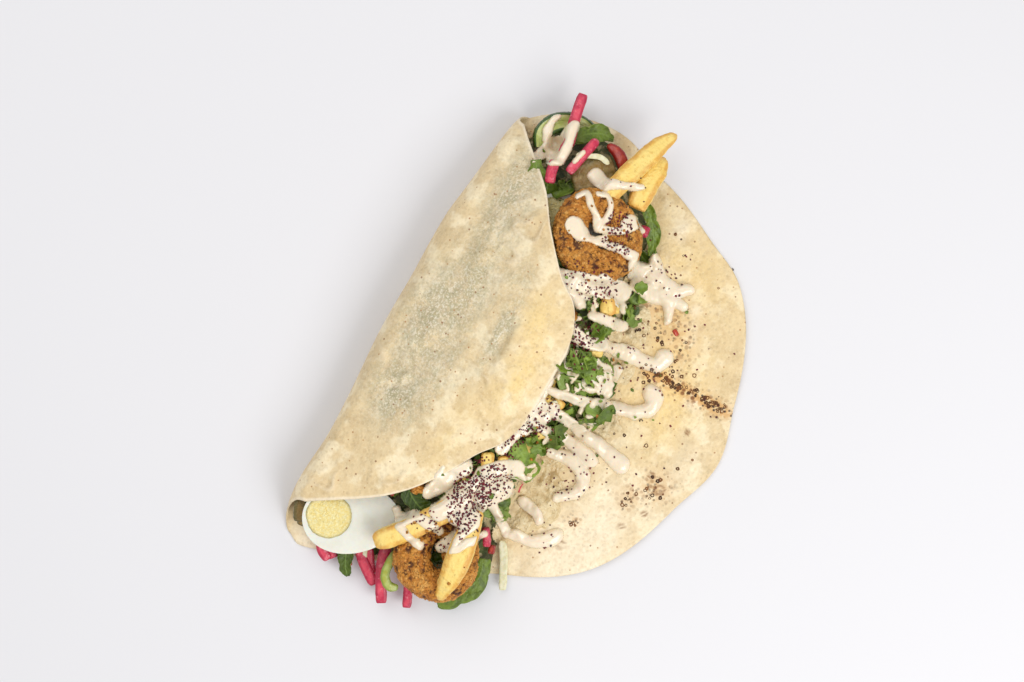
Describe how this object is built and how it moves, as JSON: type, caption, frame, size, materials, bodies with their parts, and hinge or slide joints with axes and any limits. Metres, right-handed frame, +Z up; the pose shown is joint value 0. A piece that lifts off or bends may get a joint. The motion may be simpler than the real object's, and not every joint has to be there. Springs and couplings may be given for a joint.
{
  "type": "falafel wrap",
  "caption": "Round flatbread folded over salad, fried falafel rings, egg halves, fries, pickles and tahini, lying half open.",
  "frame": {"origin": "on the underside of the bread, at the centre of its open, round half", "axes": "+X along the fold, towards the end with the long turnip stick; +Y from the open half to the fold; +Z up"},
  "size_m": [0.3274, 0.2152, 0.0492],
  "materials": {
    "bread": "matte baked flatbread with small toasted dots",
    "salad": "chopped herbs and salad, moist",
    "falafel": "rough, crumbly fried crust",
    "egg_white": "smooth boiled egg white, satin",
    "egg_yolk": "crumbly boiled yolk, matte",
    "fry": "fried potato, thin oily skin",
    "turnip": "pickled turnip, wet",
    "pickle": "pickled cucumber, wet",
    "cucumber": "fresh cucumber with dark green skin",
    "tomato": "tomato wedge, wet",
    "pepper": "light green pepper skin",
    "cabbage": "pale cabbage strip",
    "leaf": "fresh parsley and lettuce leaf, satin",
    "tahini": "thick sesame sauce, glossy",
    "sumac": "coarse ground dark red spice"
  },
  "bodies": {
    "root": {"flatbread": "bread", "salad_heap": "salad", "fry_top_long": "fry", "fry_top_side": "fry", "fry_low_left": "fry", "fry_low_right": "fry", "fry_stub_one": "fry", "fry_stub_two": "fry", "falafel_upper": "falafel", "falafel_lower": "falafel", "egg_low_yolk": "egg_yolk", "egg_low_white": "egg_white", "egg_top_yolk": "egg_yolk", "egg_top_white": "egg_white", "turnip_top_long": "turnip", "turnip_top_second": "turnip", "turnip_top_third": "turnip", "pickle_slice": "pickle", "cucumber_slice": "cucumber", "tomato_wedge": "tomato", "turnip_low_tip": "turnip", "turnip_low_bent": "turnip", "turnip_low_long": "turnip", "turnip_low_last": "turnip", "pepper_strip": "pepper", "pickle_strip": "pickle", "cabbage_strip": "cabbage", "tomato_low": "tomato", "tomato_side": "tomato", "potato_chunk_mid": "fry", "potato_chunk_low": "fry", "potato_chunk_inner": "fry", "potato_chunk_edge": "fry", "tahini_mound": "tahini", "tahini_spill": "tahini", "tahini_finger_one": "tahini", "tahini_finger_two": "tahini", "tahini_finger_three": "tahini", "tahini_finger_four": "tahini", "turnip_side": "turnip", "leaf_mid": "leaf", "leaf_low_big": "leaf", "leaf_low_dark": "leaf", "leaf_low_small": "leaf", "leaf_top_outer": "leaf", "leaf_top_left": "leaf", "leaf_side": "leaf"}
  },
  "joints": []
}
